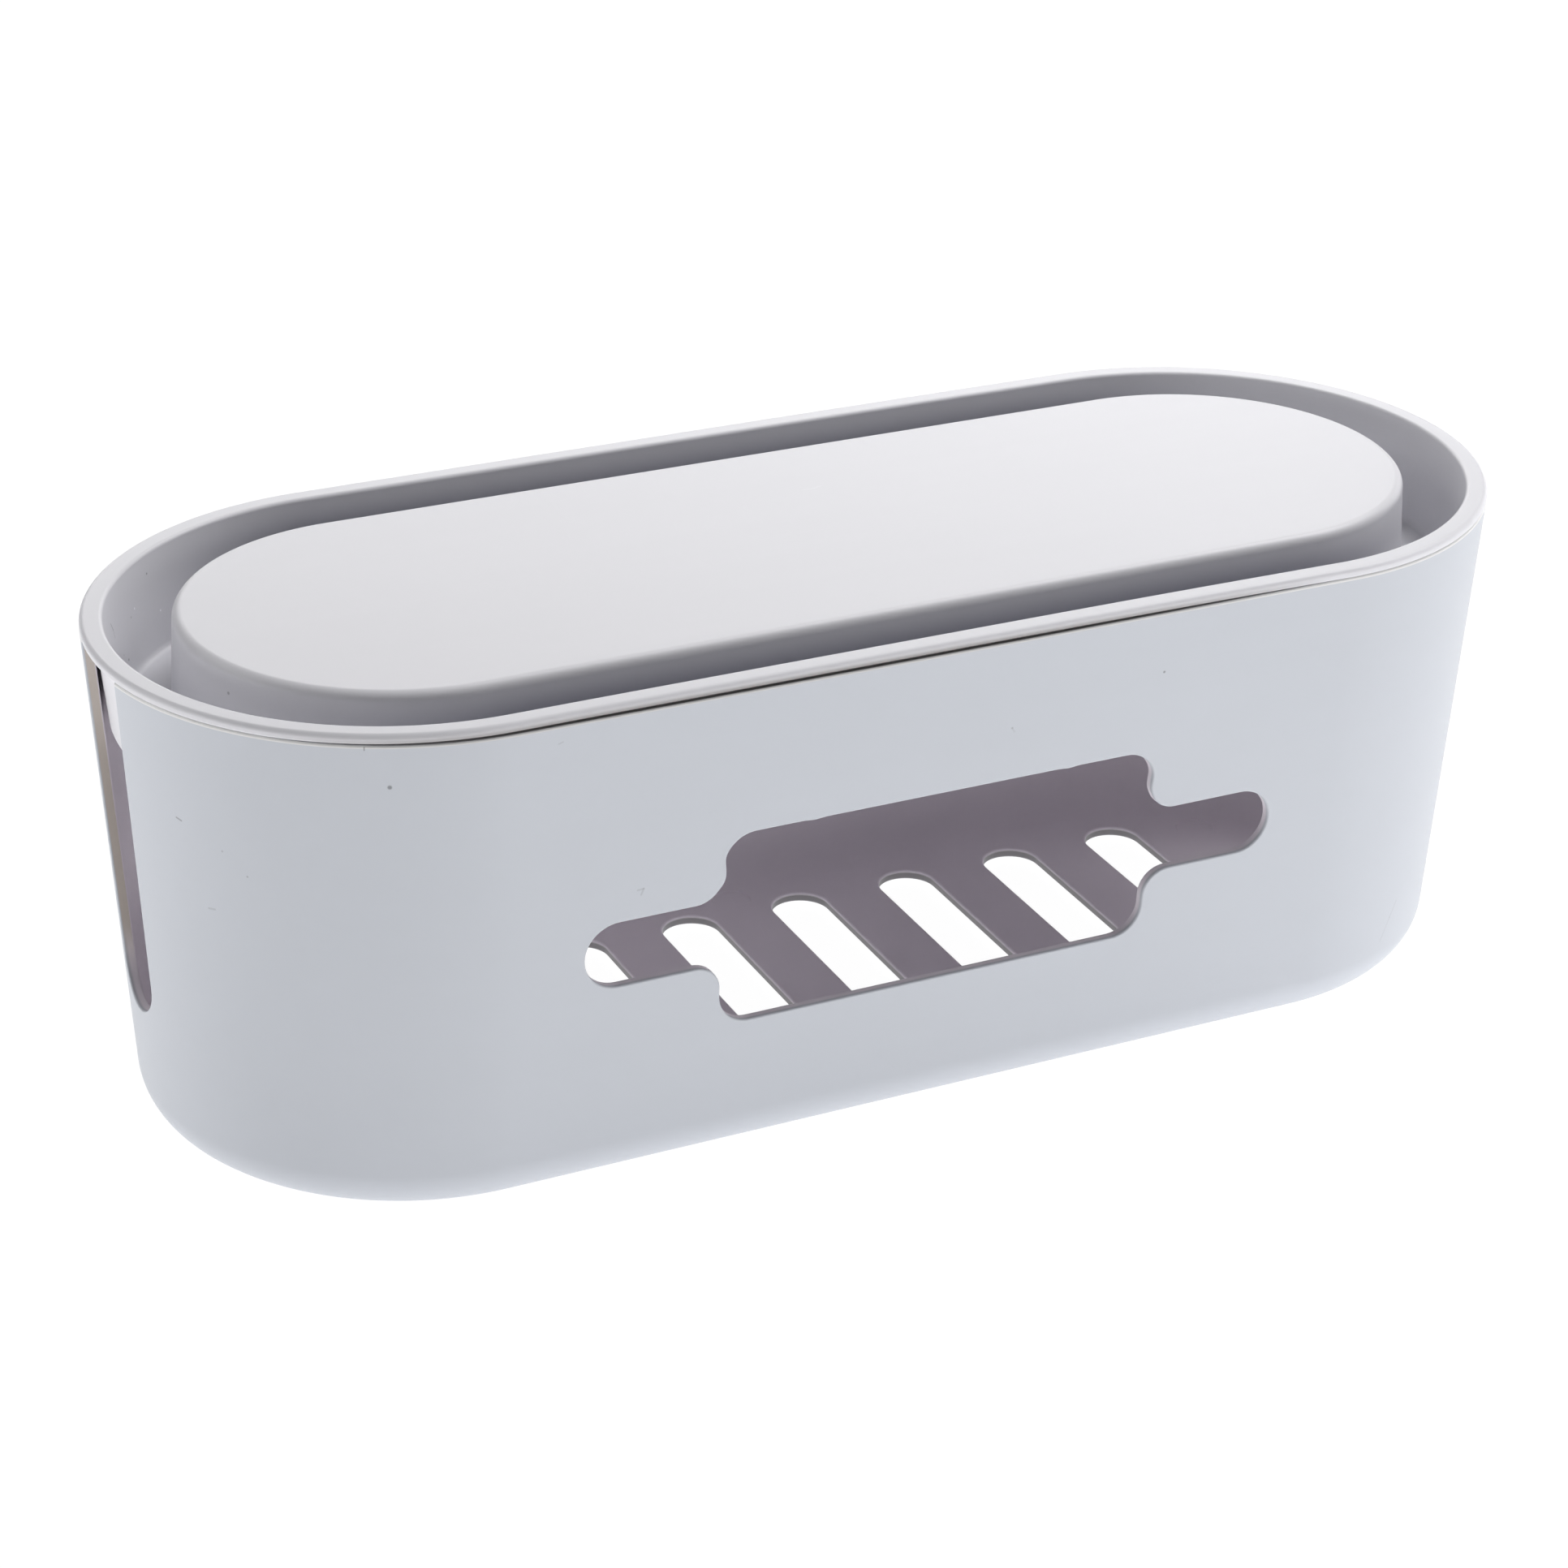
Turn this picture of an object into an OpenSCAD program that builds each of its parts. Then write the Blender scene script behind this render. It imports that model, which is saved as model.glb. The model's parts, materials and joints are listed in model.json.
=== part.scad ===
// Cable management box: an open tray-like body on four rubber feet, and a lift-off lid
// whose raised centre is ringed by a trough.  Millimetres, +Z up.
// Origin: centre of the footprint, on the plane the feet stand on.

/* [Body] */
// Overall length, measured at the top edge
body_l = 320; // [240:5:420]
// Overall width, measured at the top edge (the ends are half circles of this width)
body_w = 130; // [100:5:170]
// Height from the underside to the top edge
body_h = 110.8; // [80:0.2:150]
// Lean of the side walls, in degrees from upright
body_draft = 3.37; // [0.5:0.01:6]
// Thickness of the side walls
wall_t = 2.4; // [1.6:0.1:4]
// Thickness of the floor
floor_t = 2.4; // [1.6:0.1:4]
// Radius where the outside wall turns under
bottom_r = 11.3; // [5:0.1:16]
// Rounding of the top edge, on both sides
lip_r = 0.5; // [0.2:0.1:1]

/* [Front opening] */
// Width of the tall middle part
window_w = 100; // [60:1:140]
// Height of the tall middle part
window_h = 44.8; // [30:0.2:60]
// Overall width across the two side arms
arm_span = 160.4; // [110:0.4:180]
// Height of the side arms
arm_h = 15; // [8:0.5:24]
// Height of the opening's centre above the underside
window_z = 55.8; // [45:0.2:70]
// Radius of the four outer corners
window_r = 7; // [3:0.5:12]
// Radius of the four inner corners, where the arms begin
arm_root_r = 6; // [2:0.5:7]

/* [End slots] */
// Width across the rounded bottom of a slot
end_slot_w = 18.6; // [10:0.2:30]
// Lean of each side of a slot, in degrees
end_slot_draft = 1.6; // [0.2:0.1:4]
// Height of the slot's lowest point above the underside
end_slot_z = 31; // [20:0.5:60]

/* [Floor slots] */
// Distance from slot to slot
vent_pitch = 28.28; // [20:0.02:40]
// Least distance of the outermost slots in from the body's ends
vent_end = 60.9; // [56:0.1:90]
// Width of a slot
vent_w = 13.6; // [6:0.2:18]
// Length of a slot
vent_l = 77.8; // [40:0.2:80]
// Rounding of a slot's edges
vent_edge_r = 0.7; // [0.3:0.1:1]

/* [Lid] */
// Thickness of the rim that lies on the body's top edge
rim_t = 2; // [1.6:0.1:4]
// Thickness of the lid's other walls
lid_wall = 2; // [1.4:0.1:3]
// Clearance between the trough's outer wall and the inside of the body
lid_gap = 0.5; // [0.2:0.05:0.8]
// Lean of the trough's outer wall, in degrees
trough_draft = 5.2; // [3.5:0.1:8]
// Depth of the trough below the top of the rim
trough_depth = 22.8; // [12:0.2:35]
// Width of the trough between the raised centre and the rim, at the seat
trough_w = 13.8; // [10:0.1:22]
// Lean of the raised centre's side wall, in degrees
island_draft = 3.15; // [0.5:0.05:5]
// How far the raised centre's top stands above the rim
island_rise = 0.3; // [0:0.1:2]
// Radius in the corners of the trough's floor
trough_r = 1.6; // [0.8:0.1:4]
// Radius of the raised centre's top edge
island_r = 2.2; // [0.8:0.1:4]
// Rounding of the rim's inner edge
rim_in_r = 0.9; // [0.3:0.1:1.4]
// Rounding of the rim's outer top edge
rim_out_r = 1.1; // [0.3:0.1:1.4]

/* [Feet] */
// Diameter of a foot
foot_d = 12; // [8:0.5:16]
// How far a foot stands below the underside
foot_proud = 1.4; // [0.8:0.1:3]
// Depth of the round seat that locates a foot
foot_seat = 0.6; // [0.3:0.1:1]
// Distance of a foot's centre in from the body's end
foot_x = 41; // [36:1:45]
// Distance of a foot's centre in from the body's side
foot_y = 40; // [34:1:50]
// Rounding of a foot's lower edge
foot_r = 0.5; // [0.2:0.1:0.8]

/* [Hidden] */
$fn = 96;
eps = 0.01;
end_x = (body_l - body_w) / 2;                      // centre of each half-circle end
top_z = body_h + rim_t;                             // top of the rim, above the underside
island_z = top_z + island_rise;                     // top of the raised centre
base_r = body_w / 2 - body_h * tan(body_draft);     // end radius where the wall would meet z = 0
in_bottom_r = max(bottom_r - wall_t, 1);            // inside radius, keeps the wall even
plug_r = body_w / 2 - wall_t - lid_gap;             // trough wall's outside, at the seat
trough_z = top_z - trough_depth;                    // trough floor
island_w = plug_r - lid_wall - trough_w;            // raised centre's radius, at the top
root_r = trough_r + lid_wall;                       // outside radius under the trough
out_r = min(rim_out_r, rim_t - lip_r - 0.1);        // keeps an upright band round the rim
vent_n = floor((body_l - 2 * vent_end) / vent_pitch) + 1;     // as many slots as fit
arm_r = arm_h / 2 - eps;                            // full-round arm ends
end_slot_r = end_slot_w / 2;

// Points of an arc about [cx, cz], from angle a to angle b in n steps
function arc(cx, cz, r, a, b, n = 8) =
    [for (i = [0 : n]) [cx + r * cos(a + (b - a) * i / n), cz + r * sin(a + (b - a) * i / n)]];

// Centre of a round of radius r that touches a leaning wall.  The wall passes through
// [r0, z0] and leans by a degrees; side is 1 for a centre outside it, -1 for inside
function beside(r0, z0, a, z, r, side) = r0 + ((z - z0) * sin(a) + side * r) / cos(a);

// Half section of the body, from the axis out: underside, wall, top edge, floor
body_profile = concat(
    [[0, 0]],
    arc(beside(base_r, 0, body_draft, bottom_r, bottom_r, -1), bottom_r, bottom_r,
        -90, -body_draft, 16),
    arc(beside(base_r, 0, body_draft, body_h - lip_r, lip_r, -1), body_h - lip_r, lip_r,
        -body_draft, 90, 4),
    arc(beside(base_r - wall_t, 0, body_draft, body_h - lip_r, lip_r, 1), body_h - lip_r, lip_r,
        90, 180 - body_draft, 4),
    arc(beside(base_r - wall_t, 0, body_draft, floor_t + in_bottom_r, in_bottom_r, -1),
        floor_t + in_bottom_r, in_bottom_r, -body_draft, -90, 14),
    [[0, floor_t]]);

// Half section of the lid: raised centre, trough, rim, then back along the underside
lid_profile = concat(
    [[0, island_z]],
    arc(beside(island_w, island_z, -island_draft, island_z - island_r, island_r, -1),
        island_z - island_r, island_r, 90, island_draft, 7),
    arc(beside(island_w, island_z, -island_draft, trough_z + trough_r, trough_r, 1),
        trough_z + trough_r, trough_r, 180 + island_draft, 270, 5),
    arc(beside(plug_r - lid_wall, body_h, trough_draft, trough_z + trough_r, trough_r, -1),
        trough_z + trough_r, trough_r, -90, -trough_draft, 5),
    arc(beside(plug_r - lid_wall, body_h, trough_draft, top_z - rim_in_r, rim_in_r, 1),
        top_z - rim_in_r, rim_in_r, 180 - trough_draft, 90, 5),
    arc(body_w / 2 - out_r, top_z - out_r, out_r, 90, 0, 5),
    arc(body_w / 2 - lip_r, body_h + lip_r, lip_r, 0, -90, 4),
    [[plug_r, body_h]],
    arc(beside(plug_r, body_h, trough_draft, trough_z - lid_wall + root_r, root_r, -1),
        trough_z - lid_wall + root_r, root_r, -trough_draft, -90, 6),
    arc(beside(island_w - lid_wall, island_z, -island_draft, trough_z - lid_wall + root_r,
        root_r, 1), trough_z - lid_wall + root_r, root_r, 270, 180 + island_draft, 6),
    arc(beside(island_w - lid_wall, island_z, -island_draft, island_z - lid_wall - 1, 1, -1),
        island_z - lid_wall - 1, 1, island_draft, 90, 4),
    [[0, island_z - lid_wall]]);

// Cutter section of a vent: half the slot's width, flared by a round at both faces
vent_profile = concat(
    [[0, -1]],
    [[vent_w / 2 + vent_edge_r * 0.66 + 1 / tan(20), -1]],
    arc(vent_w / 2 + vent_edge_r, vent_edge_r * 0.94, vent_edge_r, 250, 180, 5),
    arc(vent_w / 2 + vent_edge_r, floor_t - vent_edge_r * 0.94, vent_edge_r, 180, 110, 5),
    [[vent_w / 2 + vent_edge_r * 0.66 + 1 / tan(20), floor_t + 1]],
    [[0, floor_t + 1]]);

// A half section and its mirror image, as one outline
function both_sides(p) = concat([for (q = p) if (q[0] > 0) q],
    [for (i = [len(p) - 1 : -1 : 0]) if (p[i][0] > 0) [-p[i][0], p[i][1]]]);

// Sweeps a half section round a straight-sided oval: two half turns and the run between
module oval(profile, half) {
    for (s = [-1, 1])
        translate([s * half, 0, 0])
            rotate([0, 0, s * -90])
                rotate_extrude(angle = 180)
                    polygon(profile);
    rotate([90, 0, 90])
        translate([0, 0, -half])
            linear_extrude(2 * half)
                polygon(both_sides(profile));
}

// Outline of the front opening, one quarter mirrored into four
function window_quarter() = concat(
    arc(arm_span / 2 - arm_r, arm_h / 2 - arm_r, arm_r, 0, 90, 10),
    arc(window_w / 2 + arm_root_r, arm_h / 2 + arm_root_r, arm_root_r, 270, 180, 8),
    arc(window_w / 2 - window_r, window_h / 2 - window_r, window_r, 0, 90, 8));

module window_outline() {
    q = window_quarter();
    n = len(q) - 1;
    polygon(concat(
        q,
        [for (i = [n : -1 : 0]) [-q[i][0], q[i][1]]],
        [for (i = [0 : n]) [-q[i][0], -q[i][1]]],
        [for (i = [n : -1 : 0]) [q[i][0], -q[i][1]]]));
}

// Outline of an end slot: round bottom, sides that open towards the top
module end_slot_outline() {
    a = end_slot_draft;
    c = end_slot_z + end_slot_r;
    over = body_h + 5;
    half_w = end_slot_r * cos(a) + (over - c + end_slot_r * sin(a)) * tan(a);
    polygon(concat([[-half_w, over]], arc(0, c, end_slot_r, 180 + a, 360 - a, 20),
        [[half_w, over]]));
}

// One vent cutter, lying across the floor
module vent() {
    rotate([0, 0, 90])
        oval(vent_profile, (vent_l - vent_w) / 2);
}

module body() {
    color([0.78, 0.79, 0.82])
    translate([0, 0, foot_proud])
    difference() {
        oval(body_profile, end_x);
        // front opening
        translate([0, -body_w / 2 + wall_t * 3, window_z])
            rotate([90, 0, 0])
                linear_extrude(body_w / 2)
                    window_outline();
        // a cable slot in each end
        for (s = [0, 1])
            mirror([s, 0, 0])
                translate([end_x + base_r - bottom_r, 0, 0])
                    rotate([90, 0, 90])
                        linear_extrude(body_w / 2)
                            end_slot_outline();
        // vents through the floor
        for (i = [0 : vent_n - 1])
            translate([(i - (vent_n - 1) / 2) * vent_pitch, 0, 0])
                vent();
        // seats for the feet
        for (sx = [-1, 1], sy = [-1, 1])
            translate([sx * (body_l / 2 - foot_x), sy * (body_w / 2 - foot_y), -1])
                cylinder(d = foot_d, h = 1 + foot_seat);
    }
}

module lid() {
    color([0.84, 0.85, 0.86])
    translate([0, 0, foot_proud])
        oval(lid_profile, end_x);
}

// A rubber foot, its top face against the bottom of its seat
module foot(sx, sy) {
    color([0.30, 0.30, 0.31])
    translate([sx * (body_l / 2 - foot_x), sy * (body_w / 2 - foot_y), 0])
        rotate_extrude()
            polygon(concat([[0, 0]], arc(foot_d / 2 - foot_r, foot_r, foot_r, -90, 0, 4),
                [[foot_d / 2, foot_proud + foot_seat], [0, foot_proud + foot_seat]]));
}

body();
lid();
foot(-1, -1);  // foot_front_left
foot(1, -1);  // foot_front_right
foot(-1, 1);  // foot_rear_left
foot(1, 1);  // foot_rear_right
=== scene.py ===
"""Cable management box: an open body on four rubber feet, and a lift-off lid.

The lid's raised centre is ringed by a trough.  Pieces are worked out in millimetres, with z
counted from the plane that the feet stand on, and are turned into metres when they are done.
"""
from __future__ import annotations

import json
import logging
import math
from dataclasses import dataclass, field
from enum import Enum
from typing import Any, Callable, Iterable, Sequence

import bpy  # noqa: E402
import numpy as np  # noqa: E402
from mathutils import Matrix, Vector  # noqa: E402

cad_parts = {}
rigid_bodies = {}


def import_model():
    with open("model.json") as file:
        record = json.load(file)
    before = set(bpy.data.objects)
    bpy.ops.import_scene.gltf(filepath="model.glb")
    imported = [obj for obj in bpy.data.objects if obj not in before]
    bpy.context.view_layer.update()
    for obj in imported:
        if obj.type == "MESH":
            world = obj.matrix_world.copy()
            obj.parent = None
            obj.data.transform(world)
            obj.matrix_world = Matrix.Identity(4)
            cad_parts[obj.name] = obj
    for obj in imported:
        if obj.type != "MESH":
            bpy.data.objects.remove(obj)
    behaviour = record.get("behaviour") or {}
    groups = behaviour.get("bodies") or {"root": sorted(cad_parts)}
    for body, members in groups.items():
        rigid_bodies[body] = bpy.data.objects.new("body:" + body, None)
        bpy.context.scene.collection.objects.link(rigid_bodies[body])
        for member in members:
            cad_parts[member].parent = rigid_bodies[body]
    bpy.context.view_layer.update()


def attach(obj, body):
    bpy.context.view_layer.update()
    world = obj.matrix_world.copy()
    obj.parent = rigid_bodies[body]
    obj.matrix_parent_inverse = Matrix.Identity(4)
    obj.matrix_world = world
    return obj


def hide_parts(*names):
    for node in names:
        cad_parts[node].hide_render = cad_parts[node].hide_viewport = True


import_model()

LOG = logging.getLogger("box")
MM = 0.001
TINY = 1e-9         # keeps a division by a length away from zero
SHORT = 1e-6        # a section's step that is shorter than this is left out
ON_AXIS = 1e-3      # a point nearer to the axis than this has no direction of its own
WHITE = (1.0, 1.0, 1.0, 1.0)
Point = tuple[float, float]
Place = tuple[float, float, float]
Colour = tuple[float, float, float]
Span = tuple[float, float]


# ---------------------------------------------------------------- node graphs


class Wire:
    """An output socket that can be used in arithmetic."""

    def __init__(self, graph: "Graph", socket: bpy.types.NodeSocket) -> None:
        """Keep the graph and the socket."""
        self.graph = graph
        self.socket = socket

    def _math(self, operation: str, *values: Any) -> "Wire":
        """Add one Math node."""
        return self.graph.node("ShaderNodeMath", {"operation": operation}, *values)

    def __add__(self, other: Any) -> "Wire":
        """Sum."""
        return self._math("ADD", self, other)

    def __radd__(self, other: Any) -> "Wire":
        """Sum, reflected."""
        return self._math("ADD", other, self)

    def __sub__(self, other: Any) -> "Wire":
        """Difference."""
        return self._math("SUBTRACT", self, other)

    def __rsub__(self, other: Any) -> "Wire":
        """Difference, reflected."""
        return self._math("SUBTRACT", other, self)

    def __mul__(self, other: Any) -> "Wire":
        """Product."""
        return self._math("MULTIPLY", self, other)

    def __rmul__(self, other: Any) -> "Wire":
        """Product, reflected."""
        return self._math("MULTIPLY", other, self)

    def __truediv__(self, other: Any) -> "Wire":
        """Quotient."""
        return self._math("DIVIDE", self, other)

    def __rtruediv__(self, other: Any) -> "Wire":
        """Quotient, reflected."""
        return self._math("DIVIDE", other, self)

    def __pow__(self, other: Any) -> "Wire":
        """Power."""
        return self._math("POWER", self, other)

    def __rpow__(self, other: Any) -> "Wire":
        """Power, reflected."""
        return self._math("POWER", other, self)

    def __mod__(self, other: Any) -> "Wire":
        """Remainder, always positive."""
        return self._math("FLOORED_MODULO", self, other)

    def __rmod__(self, other: Any) -> "Wire":
        """Remainder, reflected."""
        return self._math("FLOORED_MODULO", other, self)

    def __abs__(self) -> "Wire":
        """Absolute value."""
        return self._math("ABSOLUTE", self)

    def floor(self) -> "Wire":
        """Whole part."""
        return self._math("FLOOR", self)

    def sin(self) -> "Wire":
        """Sine."""
        return self._math("SINE", self)

    def cos(self) -> "Wire":
        """Cosine."""
        return self._math("COSINE", self)

    def root(self) -> "Wire":
        """Square root."""
        return self._math("SQRT", self)

    def least(self, other: Any) -> "Wire":
        """The smaller of the two."""
        return self._math("MINIMUM", self, other)

    def most(self, other: Any) -> "Wire":
        """The greater of the two."""
        return self._math("MAXIMUM", self, other)

    def ramp(self, low: float, high: float) -> "Wire":
        """Zero at low and one at high, eased between them and held outside.

        Args:
            low: value that gives zero.
            high: value that gives one.

        Returns:
            The ramped value.
        """
        settings = {"interpolation_type": "SMOOTHSTEP", "clamp": True}
        return self.graph.node("ShaderNodeMapRange", settings, Value=self,
                               **{"From Min": low, "From Max": high})


class Graph:
    """Builds one node tree."""

    def __init__(self, tree: bpy.types.NodeTree) -> None:
        """Keep the tree."""
        self.tree = tree

    def node(self, kind: str, settings: dict[str, Any] | None = None, *values: Any,
             out: str | int = 0, **named: Any) -> Wire:
        """Add a node, set it up and wire it.

        Args:
            kind: the node's type.
            settings: its own settings, set before its sockets.
            values: values or wires for the first sockets, in order.
            out: name or number of the output to return.
            named: values or wires for sockets by name.

        Returns:
            The wire from the chosen output.
        """
        made = self.tree.nodes.new(kind)
        for key, value in (settings or {}).items():
            setattr(made, key, value)
        for place, value in [*enumerate(values), *named.items()]:
            self.join(self.pick(made.inputs, place), value)
        if not made.outputs:
            return Wire(self, None)
        return Wire(self, self.pick(made.outputs, out))

    @staticmethod
    def pick(sockets: Any, key: str | int) -> bpy.types.NodeSocket:
        """Find a socket by place, or by name among those in use.

        Args:
            sockets: a node's inputs or outputs.
            key: the socket's place or name.

        Returns:
            The socket.
        """
        if isinstance(key, int):
            return sockets[key]
        return next(s for s in sockets if s.name == key and s.enabled)

    def join(self, socket: bpy.types.NodeSocket, value: Any) -> None:
        """Link a wire to a socket, or set its value.

        Args:
            socket: the input.
            value: the wire, or the value.
        """
        if isinstance(value, Wire):
            self.tree.links.new(value.socket, socket)
        else:
            socket.default_value = value

    def other(self, wire: Wire, out: str | int) -> Wire:
        """Another output of the node that a wire comes from."""
        return Wire(self, self.pick(wire.socket.node.outputs, out))

    def mix(self, share: Any, first: Any, second: Any) -> Wire:
        """Blend two colours by a share."""
        return self.node("ShaderNodeMix", {"data_type": "RGBA"}, Factor=share, out="Result",
                         A=first, B=second)

    def vector(self, operation: str, *values: Any, out: str = "Vector") -> Wire:
        """Add one Vector Math node."""
        return self.node("ShaderNodeVectorMath", {"operation": operation}, *values, out=out)

    def scaled(self, value: Any, by: Any) -> Wire:
        """A vector or colour times a number."""
        return self.node("ShaderNodeVectorMath", {"operation": "SCALE"}, value, Scale=by,
                         out="Vector")

    def place(self) -> Wire:
        """The place on the object, in millimetres."""
        return self.scaled(self.node("ShaderNodeTexCoord", None, out="Object"), 1 / MM)

    def axes(self, spot: Wire) -> tuple[Wire, Wire, Wire]:
        """The three numbers of a vector."""
        x = self.node("ShaderNodeSeparateXYZ", None, spot)
        return x, self.other(x, "Y"), self.other(x, "Z")


class GeometryGraph(Graph):
    """A Geometry Nodes tree with named inputs, which ends in one realised mesh."""

    KINDS = {float: "NodeSocketFloat", int: "NodeSocketInt"}

    def __init__(self, name: str, inputs: dict[str, type]) -> None:
        """Start a tree that takes a mesh, the named numbers and a material.

        Args:
            name: the tree's name.
            inputs: the numbers' names and types.
        """
        super().__init__(bpy.data.node_groups.new(name, "GeometryNodeTree"))
        face = self.tree.interface
        face.new_socket("Geometry", in_out="INPUT", socket_type="NodeSocketGeometry")
        self.ids: dict[str, str] = {}
        for key, kind in inputs.items():
            made = face.new_socket(key, in_out="INPUT", socket_type=self.KINDS[kind])
            self.ids[key] = made.identifier
        made = face.new_socket("Material", in_out="INPUT", socket_type="NodeSocketMaterial")
        self.ids["Material"] = made.identifier
        face.new_socket("Geometry", in_out="OUTPUT", socket_type="NodeSocketGeometry")
        self.entry = self.tree.nodes.new("NodeGroupInput")

    def input(self, name: str) -> Wire:
        """The wire of a named input."""
        return Wire(self, self.entry.outputs[name])

    def close(self, mesh: Wire) -> None:
        """End in Realize Instances and Set Material.

        Args:
            mesh: what the tree has made.
        """
        mesh = self.node("GeometryNodeRealizeInstances", None, mesh)
        mesh = self.node("GeometryNodeSetMaterial", None, mesh, Material=self.input("Material"))
        self.node("NodeGroupOutput", None, mesh)

    def run(self, source: bpy.types.Mesh, material: bpy.types.Material | None,
            **values: float) -> bpy.types.Mesh:
        """Work the tree on a mesh.

        Args:
            source: the mesh that goes in.
            material: the finish for what comes out.
            values: the named inputs, with _ for a space.

        Returns:
            The plain mesh that comes out.
        """
        carrier = new_object("work", source)
        modifier = carrier.modifiers.new("tree", "NODES")
        modifier.node_group = self.tree
        modifier[self.ids["Material"]] = material
        for key, value in values.items():
            modifier[self.ids[key.replace("_", " ")]] = value
        return harvest(carrier)


# ---------------------------------------------------------------- mesh helpers


def new_object(name: str, mesh: bpy.types.Mesh) -> bpy.types.Object:
    """Put a mesh in the scene.

    Args:
        name: the object's name.
        mesh: its mesh.

    Returns:
        The object.
    """
    made = bpy.data.objects.new(name, mesh)
    bpy.context.scene.collection.objects.link(made)
    return made


def harvest(carrier: bpy.types.Object) -> bpy.types.Mesh:
    """Turn an object with modifiers into a plain mesh, and remove the object.

    Args:
        carrier: the object, with its modifiers live.

    Returns:
        The evaluated mesh.
    """
    graph = bpy.context.evaluated_depsgraph_get()
    mesh = bpy.data.meshes.new_from_object(carrier.evaluated_get(graph),
                                           preserve_all_data_layers=True, depsgraph=graph)
    bpy.data.objects.remove(carrier)
    return mesh


def mesh_of(name: str, points: Iterable[Sequence[float]],
            faces: Iterable[Sequence[int]] = ()) -> bpy.types.Mesh:
    """Make a mesh.

    Args:
        name: the mesh's name.
        points: its points.
        faces: its faces, as places in the points.

    Returns:
        The mesh.
    """
    mesh = bpy.data.meshes.new(name)
    mesh.from_pydata([tuple(map(float, p)) for p in points], [], [tuple(f) for f in faces])
    return mesh


def column(items: Any, key: str, width: int = 1, kind: type = float) -> np.ndarray:
    """Read one property of all points, corners or faces of a mesh.

    Args:
        items: the mesh's points, corners or faces, or an attribute's data.
        key: the property's name.
        width: how many numbers it has.
        kind: the numbers' type.

    Returns:
        One number or one row for each item.
    """
    flat = np.empty(len(items) * width, kind)
    items.foreach_get(key, flat)
    return flat.reshape(-1, width) if width > 1 else flat


def move(mesh: bpy.types.Mesh, spots: np.ndarray) -> None:
    """Put the points of a mesh in new places."""
    mesh.vertices.foreach_set("co", spots.ravel())
    mesh.update()


def loft(rings: Sequence[np.ndarray]) -> bpy.types.Mesh:
    """A closed solid through rings of equal count, capped at both ends.

    Args:
        rings: arrays of points, each ring in the same order and direction.

    Returns:
        The mesh, with its faces pointing outwards.
    """
    count = len(rings[0])
    faces = [tuple(reversed(range(count)))]
    for k in range(len(rings) - 1):
        for i in range(count):
            j = (i + 1) % count
            faces.append((k * count + i, k * count + j, (k + 1) * count + j,
                          (k + 1) * count + i))
    faces.append(tuple(range((len(rings) - 1) * count, len(rings) * count)))
    mesh = mesh_of("loft", np.concatenate(rings), faces)
    if volume(mesh) < 0:
        mesh.flip_normals()
    return mesh


def volume(mesh: bpy.types.Mesh) -> float:
    """Measure the inside of a closed mesh.

    Args:
        mesh: the mesh.

    Returns:
        The volume, negative where the faces point inwards.
    """
    mesh.calc_loop_triangles()
    corners = np.array([mesh.vertices[v].co for t in mesh.loop_triangles for v in t.vertices])
    a, b, c = corners.reshape(-1, 3, 3).transpose(1, 0, 2)
    return float(np.einsum("ij,ij->i", a, np.cross(b, c)).sum() / 6)


def carve(mesh: bpy.types.Mesh, cutters: Sequence[bpy.types.Mesh]) -> bpy.types.Mesh:
    """Cut closed meshes out of another.

    Args:
        mesh: the mesh that is worked on.
        cutters: the closed meshes.

    Returns:
        The new mesh.
    """
    carrier = new_object("work", mesh)
    tools = [new_object("tool", c) for c in cutters]
    for tool in tools:
        if OvalSweep.PATCH in tool.data.attributes:
            tool.data.attributes.remove(tool.data.attributes[OvalSweep.PATCH])
        modifier = carrier.modifiers.new("cut", "BOOLEAN")
        modifier.operation, modifier.solver, modifier.object = "DIFFERENCE", "EXACT", tool
    result = harvest(carrier)
    for tool in tools:
        bpy.data.objects.remove(tool)
    if not result.polygons:
        raise RuntimeError("a cut left nothing of its mesh")
    return result


# ---------------------------------------------------------------- sections


@dataclass
class Section:
    """A half section from the axis outwards, with the surface's direction on each step."""

    points: list[Point] = field(default_factory=list)
    leans: list[tuple[Point, Point]] = field(default_factory=list)

    def to(self, r: float, z: float) -> "Section":
        """Go straight to a point.

        Args:
            r: distance from the axis.
            z: height.

        Returns:
            The section itself.
        """
        if self.points:
            pr, pz = self.points[-1]
            length = math.hypot(r - pr, z - pz)
            if length < SHORT:
                return self
            lean = ((z - pz) / length, (pr - r) / length)
            self.leans.append((lean, lean))
        self.points.append((r, z))
        return self

    def arc(self, cr: float, cz: float, radius: float, start: float, end: float,
            steps: int) -> "Section":
        """Go straight to the start of an arc, then round it.

        Args:
            cr: distance of the centre from the axis.
            cz: height of the centre.
            radius: the arc's radius.
            start: first angle, in degrees.
            end: last angle, in degrees.
            steps: number of steps.

        Returns:
            The section itself.
        """
        side = 1.0 if end > start else -1.0
        turns = np.radians(np.linspace(start, end, steps + 1))
        spots = [(cr + radius * math.cos(t), cz + radius * math.sin(t)) for t in turns]
        ways = [(side * math.cos(t), side * math.sin(t)) for t in turns]
        self.to(*spots[0])
        for k in range(steps):
            self.leans.append((ways[k], ways[k + 1]))
            self.points.append(spots[k + 1])
        return self

    def backwards(self) -> "Section":
        """The same section walked the other way, with its surface facing the other side."""
        turned = [tuple((-a, -b) for a, b in reversed(pair)) for pair in reversed(self.leans)]
        return Section(self.points[::-1], turned)


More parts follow.
